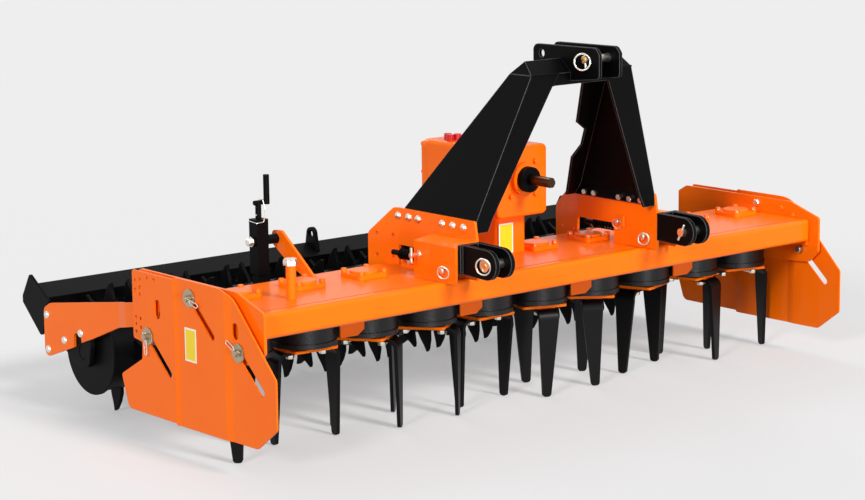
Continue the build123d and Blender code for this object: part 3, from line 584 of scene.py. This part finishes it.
def strip_bolts():
    """Row of domed bolts that join each tower leg to its bracket, with nuts inside the leg."""
    nut_ys = STRIP_YS[1:]
    outside = [(s * BRACKET_OUT, y, STRIP_Z) for s in SIDES for y in STRIP_YS]
    inside = [(s * LEG_WEB_IN, y, STRIP_Z) for s in SIDES for y in nut_ys]
    bolts = placed(dome(radius=14, height=10), outside, outward(len(STRIP_YS)))
    nuts = placed(hex_head(M12_FLATS, height=11), inside, -outward(len(nut_ys)))
    piece("tower_bolts", "zinc plate", "frame", bolts, nuts, slot="zinc")


def hitch_pins():
    """Lock pin with a cross handle and shank pin with rings, through each fork housing, and a tab in front of
    the lock pin."""
    grids = []
    for s in SIDES:
        y, z = LOCK_PIN
        grids.append(placed(bar(radius=8, length=156), (s * LOCK_PIN_IN, y, z), (s, 0, 0)))
        grids.append(placed(bar(radius=5, length=50, low=-25), (s * LOCK_HANDLE_X, y, z)))
        grids.append(placed(disc(radius=13, thick=4), (s * HOOD_OUT, y, z), (s, 0, 0)))
        grids.append(placed(hoop(radius=19, wire=2.8), (s * LOCK_RING_X, y, z - 8), (1, 0.3 * s, 0.5)))
        y, z = SHANK_PIN
        grids.append(placed(bar(radius=10, length=136), (s * SHANK_PIN_IN, y, z), (s, 0, 0)))
        for x, lean in zip(SHANK_RING_XS, SIDES):
            ring = hoop(radius=20, wire=3)
            grids.append(placed(ring, (s * x, y - 3, z - 6), (1, 0.4 * lean * s, -0.15 * lean)))
    piece("hitch_lock_pins", "zinc plate", "frame", *grids, slot="zinc")
    at = [(s * (BRACKET_IN - 6), *LOCK_TAB) for s in SIDES]
    tabs = placed(bar(radius=7, length=40, low=-20), at)
    piece("hitch_lock_tabs", "orange paint", "frame", tabs, slot="orange_paint")


def fork_springs():
    """Coil springs on the fork rods: a wire carried along a helix."""
    t = np.linspace(0, SPRING_TURNS, SPRING_TURNS * 14)
    y = np.linspace(*SPRING_Y, t.size)
    aside = SPRING_RADIUS * np.cos(2 * np.pi * t)
    rise = SPRING_RADIUS * np.sin(2 * np.pi * t)
    grids = []
    for s in SIDES:
        path = np.c_[s * SPRING_X + aside, y, SPRING_Z + rise]
        grids.append(swept(path, radius=3.2, sides=6, across=(0, 1, 0)))
        grids.append(placed(disc(radius=19, thick=4), (s * SPRING_X, SPRING_Y[1], SPRING_Z), (0, 1, 0)))
    piece("fork_springs", "black paint", "frame", *grids, slot="black_paint")


def link_pin_clips():
    """Ring clips and cross pins of the lower link pins and the top link pin, and the pins' domed ends."""
    grids = []
    y, z = LINK_PIN
    for s in SIDES:
        ring = hoop(radius=26, wire=2.8)
        grids.append(placed(ring, (s * (FORK_OUT + 4), y, z - 3), (1, -0.35 * s, 0.1)))
        cross = bar(radius=4, length=62, low=-31)
        grids.append(placed(cross, (s * (FORK_PIN_IN + 5), y, z), (0, -0.5, 1)))
    y, z = TOP_PIN
    grids.append(placed(hoop(radius=26, wire=3), (-TOP_PIN_HALF - 6, y, z - 7), (1, 0.7, -0.1)))
    grids.append(placed(bar(radius=4, length=44, low=-30), (-TOP_PIN_HALF + 6, y, z), (0, 0.1, 1)))
    grids.append(placed(bar(radius=4, length=40, low=-20), (TOP_PIN_HALF - 6, y, z), (0, 0.1, 1)))
    piece("link_pin_clips", "zinc plate", "frame", *grids, slot="zinc")
    ends = [(s * FORK_OUT, *LINK_PIN) for s in SIDES] + [(s * TOP_PIN_HALF, *TOP_PIN) for s in SIDES]
    domes = placed(dome(radius=11, height=4), ends, np.tile(outward(), (2, 1)))
    piece("link_pin_ends", "brass", "frame", domes)


def end_plate_fixings():
    """Nut, small bolts and stop bolt on the inner face of each end plate."""
    nut_at = [(s * END_PLATE_IN, *END_NUT) for s in SIDES]
    bolts_at = [(s * END_PLATE_IN, y, z) for s in SIDES for y, z in END_BOLTS]
    stop_at = [(s * END_PLATE_IN, *END_STOP) for s in SIDES]
    nuts = placed(hex_head(M16_FLATS, height=13), nut_at, -outward())
    bolts = placed(hex_head(M10_FLATS, height=9), bolts_at, -outward(len(END_BOLTS)))
    stops = placed(bar(radius=13, length=22), stop_at, -outward())
    piece("end_plate_nuts", "zinc plate", "frame", nuts, slot="zinc")
    piece("end_plate_bolts", "orange paint", "frame", bolts, slot="orange_paint")
    piece("end_plate_stops", "dull zinc", "frame", stops, slot="zinc")


def gearbox_bolts():
    """Bolts round the input neck and on the rear cover's rim and cap."""
    r = NECK_BOLT_RADIUS
    neck = [(r * cos(radians(a)), BOX_FRONT, PTO_Z + r * sin(radians(a))) for a in NECK_BOLT_ANGLES]
    x, z = REAR_RIM_HALF
    rim = [
        (i * x, REAR_COVER_Y, BOX_MIDDLE_Z + k * z)
        for i in (-1, 0, 1) for k in (-1, 0, 1) if (i, k) != (0, 0)
    ]
    x, z = REAR_CAP_HALF
    cap = [(i * x, REAR_PLATE_Y, BOX_MIDDLE_Z + k * z) for i in SIDES for k in SIDES]
    head = hex_head(M10_FLATS, height=9)
    front, rear = placed(head, neck, (0, -1, 0)), placed(head, rim + cap, (0, 1, 0))
    piece("gearbox_bolts", "orange paint", "frame", front, rear, slot="orange_paint")


def jack_fixings():
    """Cross bolt, locking wire and split pin of each levelling jack. The wire goes round the tube's rim and
    up to the crank."""
    x, y = JACK_AT
    rim = JACK_HALF + 2.2
    grids = []
    for s in SIDES:
        stub = (s * JACK_STUB_OUT, y, JACK_STUB_Z)
        grids.append(placed(disc(radius=17, thick=4), stub, (s, 0, 0)))
        grids.append(placed(hex_head(M16_FLATS, height=13, low=4), stub, (s, 0, 0)))
        nut = hex_head(M16_FLATS, height=12)
        grids.append(placed(nut, (s * JACK_PLATE_IN, y, JACK_STUB_Z), (-s, 0, 0)))
        wire = eased([
            (s * (x + rim), y + rim, JACK_TOP - 6), (s * (x + rim), y - rim, JACK_TOP - 10),
            (s * (x - 4), y - rim, JACK_TOP - 8), (s * (x - 10), y - rim, JACK_TOP + 30),
            (s * (x - 10), y - 12, JACK_TOP + 64), (s * (x - 12), y + 12, JACK_TOP + 64),
        ], bend=9)
        grids.append(swept(wire, radius=1.8, sides=6, across=(0.3, 0.2, 0.93)))
        pin = bar(radius=2, length=56, low=-28)
        grids.append(placed(pin, (s * x, y, JACK_TOP + 16), (0.8, 0.6, 0)))
    piece("jack_fixings", "zinc plate", "frame", *grids, slot="zinc")


def guide_clips():
    """Spring clip through each guide pin: the flat clip is turned into its direction on the washer."""
    flat = hairpin()
    grids = []
    for s in SIDES:
        for y, z, face, dy, dz in GUIDE_PINS:
            ahead = np.array((0, dy, dz)) / np.hypot(dy, dz)
            aside = np.array((0, -ahead[2], ahead[1]))
            start = np.array((s * (face + CLIP_STAND_OFF), y, z))
            path = start + flat[:, :1] * ahead + flat[:, 1:2] * aside
            grids.append(swept(path, radius=2.0, sides=6, across=(1, 0, 0)))
    piece("guide_pin_clips", "zinc plate", "frame", *grids, slot="zinc")


def grease_nipples():
    """Sunk grease nipple of each arm pivot, low enough for the deflector to pass over it."""
    at = [(s * PIVOT_OUT, *PIVOT) for s in SIDES]
    base = placed(hex_head(M16_FLATS, height=1.4), at, outward())
    tip = placed(dome(radius=6, height=2.4), at, outward())
    piece("grease_nipples", "brass", "frame", base, tip)


def tine_bolts():
    """Two bolt heads under the root of each tine, turned with the tines about the rotor's axis."""
    head = hex_head(M16_FLATS, height=13)
    for index, angle in enumerate(ROTOR_ANGLES):
        c, s = cos(radians(angle)), sin(radians(angle))
        spots = [(e * TINE_BOLT_OUT, w * TINE_BOLT_HALF) for e in SIDES for w in SIDES]
        at = [(rotor_x(index) + u * c - v * s, u * s + v * c, TINE_ROOT_Z) for u, v in spots]
        name = f"rotor_{index + 1:02d}"
        piece(f"{name}_tine_bolts", "zinc plate", name, placed(head, at, (0, 0, -1)), slot="zinc")


def arm_bolts():
    """Domed bolts on the outer face of each roller arm."""
    at = [(s * ARM_OUT, y, z) for s in SIDES for y, z in ARM_BOLTS]
    bolts = placed(dome(radius=14, height=9), at, outward(len(ARM_BOLTS)))
    piece("arm_bolts", "zinc plate", "roller_frame", bolts, slot="zinc")


def blade_bolts():
    """Two bolts where each scraper blade leaves the beam, turned with the beam."""
    c, s = cos(radians(BEAM_TURN)), sin(radians(BEAM_TURN))
    back, lift = -(BEAM_SIDE / 2 + BLADE_BOLT_BACK), BLADE_BOLT_LIFT
    y, z = BEAM[0] + back * c - lift * s, BEAM[1] + back * s + lift * c
    middles = [(k - (BLADE_COUNT - 1) / 2) * BLADE_PITCH for k in range(BLADE_COUNT)]
    at = [(x + e * BLADE_BOLT_HALF, y, z) for x in middles for e in SIDES]
    bolts = placed(hex_head(M12_FLATS, height=9), at, (0, -s, c))
    piece("blade_bolts", "black paint", "roller_frame", bolts, slot="black_paint")


def sticker(name, body, middle, across, up, width, height):
    """Blank film: a white backing with a smaller yellow face, laid on a flat panel."""
    out = np.cross(across, up)
    turn = np.stack([across, up, out], -1)
    for look, margin, thick in (("white film", 0, 0.4), ("yellow film", STICKER_BORDER, 0.7)):
        grid = slab(width - 2 * margin, height - 2 * margin, thick) @ turn.T + middle
        piece(f"{name}_{look.split()[0]}", look, body, grid)


def weld(ends, radius):
    """Bead along a seam: a rippled round section carried along a straight line."""
    a, b = np.array(ends, float)
    length = np.linalg.norm(b - a)
    along = np.linspace(0, 1, max(int(length / 3), 4))[:, None]
    across = (0, 0, 1) if abs((b - a)[2]) < 0.7 * length else (1, 0, 0)
    return swept(a + (b - a) * along, radius, sides=6, across=across, ripple=BEAD_RIPPLE, pitch=BEAD_PITCH)


def foot_weld(x, z, ys, radius):
    """Bead along y, between two places, where an upright plate stands on a level one."""
    return weld([(x, y, z) for y in ys], radius)


def welds():
    """Beads at the feet of the plates on the deck, along the housings and at the tower's head."""
    orange, black = [], []
    for s in SIDES:
        for x in (BRACKET_IN, BRACKET_OUT):
            orange += [foot_weld(s * x, DECK_TOP, ys, FINE_BEAD) for ys in BRACKET_FOOT_YS]
        orange.append(foot_weld(s * HOOD_OUT, DECK_TOP, HOOD_FOOT_YS, BROAD_BEAD))
        orange.append(foot_weld(s * BRACKET_OUT, HOOD_ROOF_Z, HOOD_ROOF_YS, BROAD_BEAD))
        for x in (JACK_PLATE_IN, JACK_PLATE_OUT):
            orange.append(foot_weld(s * x, DECK_TOP, JACK_FOOT_YS, FINE_BEAD))
        for x in SHANK_SEAM_XS:
            black.append(weld([(s * x, SHANK_SEAM_Y, z) for z in SHANK_SEAM_ZS], FINE_BEAD))
        x, y = LEG_SEAM_FOOT
        corner = (s * LEG_TOP_IN, HEAD_FRONT, LEG_TOP)
        black.append(weld(((s * x, y, HEAD_FOOT), corner), BROAD_BEAD))
        black.append(weld(((s * HEAD_OUT, HEAD_FRONT, LEG_TOP), corner), FINE_BEAD))
        for x in LINK_PLATE_XS:
            for slope in LINK_PLATE_SLOPES:
                black.append(weld([(s * x, y, z) for y, z in slope], FINE_BEAD))
    piece("orange_welds", "orange paint", "frame", *orange, slot="orange_paint")
    piece("black_welds", "black paint", "frame", *black, slot="black_paint")


cover_bolts()
groove_shade_bead()
filler_cap()
strip_bolts()
hitch_pins()
fork_springs()
link_pin_clips()
end_plate_fixings()
gearbox_bolts()
jack_fixings()
guide_clips()
grease_nipples()
tine_bolts()
arm_bolts()
blade_bolts()
sticker("deflector_sticker", "deflector_left", DEFLECTOR_STICKER, (0, -1, 0), (0, 0, 1), width=62, height=106)
sticker("pedestal_sticker", "frame", PEDESTAL_STICKER, (1, 0, 0), (0, 0, 1), width=64, height=104)
welds()


def place_camera():
    """The camera that took the photograph: yaw from +Y to +X, pitch down and roll."""
    yaw, pitch, roll = (radians(a) for a in (CAMERA_YAW, CAMERA_PITCH, CAMERA_ROLL))
    ahead = Vector((sin(yaw) * cos(pitch), cos(yaw) * cos(pitch), -sin(pitch)))
    level = ahead.cross(Vector((0, 0, 1))).normalized()
    upright = level.cross(ahead)
    right = cos(roll) * level + sin(roll) * upright
    up = -sin(roll) * level + cos(roll) * upright
    data = bpy.data.cameras.new("photo camera")
    data.sensor_width = 36.0
    data.lens = data.sensor_width * FOCAL_PX / PHOTO_SIZE[0]
    data.shift_x = (PHOTO_SIZE[0] / 2 - CENTRE_PX[0]) / PHOTO_SIZE[0]
    data.shift_y = (CENTRE_PX[1] - PHOTO_SIZE[1] / 2) / PHOTO_SIZE[0]
    data.clip_end = 100.0
    camera = bpy.data.objects.new("photo camera", data)
    turn = Matrix((right, up, -ahead)).transposed().to_4x4()
    camera.matrix_world = Matrix.Translation(Vector(CAMERA_AT) - Vector((0, Y_MIDDLE / 1000, 0))) @ turn
    bpy.context.scene.collection.objects.link(camera)
    bpy.context.scene.camera = camera


def soft_sun(name, azimuth, elevation, strength, spread):
    """A broad even light, its angles in degrees; azimuth counts from the front, positive to the right of the
    machine."""
    data = bpy.data.lights.new(name, "SUN")
    data.energy = strength
    data.angle = radians(spread)
    lamp = bpy.data.objects.new(name, data)
    a, e = radians(azimuth), radians(elevation)
    toward = Vector((sin(a) * cos(e), -cos(a) * cos(e), sin(e)))
    lamp.rotation_euler = (-toward).to_track_quat("-Z", "Y").to_euler()
    bpy.context.scene.collection.objects.link(lamp)


def seen_directly(tree):
    """1 for rays from the camera and for mirrored or passed ones, 0 for the light that the object gathers."""
    path = node(tree, "ShaderNodeLightPath")
    seen = path.outputs["Is Camera Ray"]
    for kind in ("Is Glossy Ray", "Is Transmission Ray"):
        seen = node(tree, "ShaderNodeMath", {0: seen, 1: path.outputs[kind]}, operation="MAXIMUM").outputs[0]
    return seen


def studio():
    """Pale floor and backdrop in one even tone, lit by broad soft lights."""
    bpy.ops.mesh.primitive_plane_add(size=FLOOR_SIZE, location=(0, 0, -FLOOR_DROP))
    floor = bpy.context.object
    floor.name = "studio floor"
    mat, tree, shader = surface("studio floor", Roughness=1.0, Specular_IOR_Level=0.0)
    seen = seen_directly(tree)
    mix = node(tree, "ShaderNodeMix", {
        "Factor": seen, "A": linear(FLOOR_UNSEEN), "B": linear(FLOOR_SEEN),
    }, data_type="RGBA")
    glow = node(tree, "ShaderNodeMath", {0: seen, 1: FLOOR_GLOW}, operation="MULTIPLY")
    tree.links.new(mix.outputs["Result"], shader.inputs["Base Color"])
    tree.links.new(glow.outputs[0], shader.inputs["Emission Strength"])
    shader.inputs["Emission Color"].default_value = linear(BACKDROP_SEEN)
    floor.data.materials.append(mat)
    world = bpy.data.worlds.new("studio")
    world.use_nodes = True
    bpy.context.scene.world = world
    tree = world.node_tree
    back = tree.nodes["Background"]
    mix = node(tree, "ShaderNodeMix", {
        "Factor": seen_directly(tree), "A": linear(BACKDROP_UNSEEN), "B": linear(BACKDROP_SEEN),
    }, data_type="RGBA")
    tree.links.new(mix.outputs["Result"], back.inputs["Color"])
    back.inputs["Strength"].default_value = 1.0
    soft_sun("key", azimuth=6, elevation=34, strength=2.5, spread=14)
    soft_sun("low strip", azimuth=-14, elevation=2, strength=1.3, spread=10)
    soft_sun("side fill", azimuth=-66, elevation=22, strength=1.6, spread=12)
    soft_sun("back fill", azimuth=165, elevation=40, strength=0.5, spread=24)
    bpy.context.scene.view_settings.view_transform = "Standard"


place_camera()
studio()
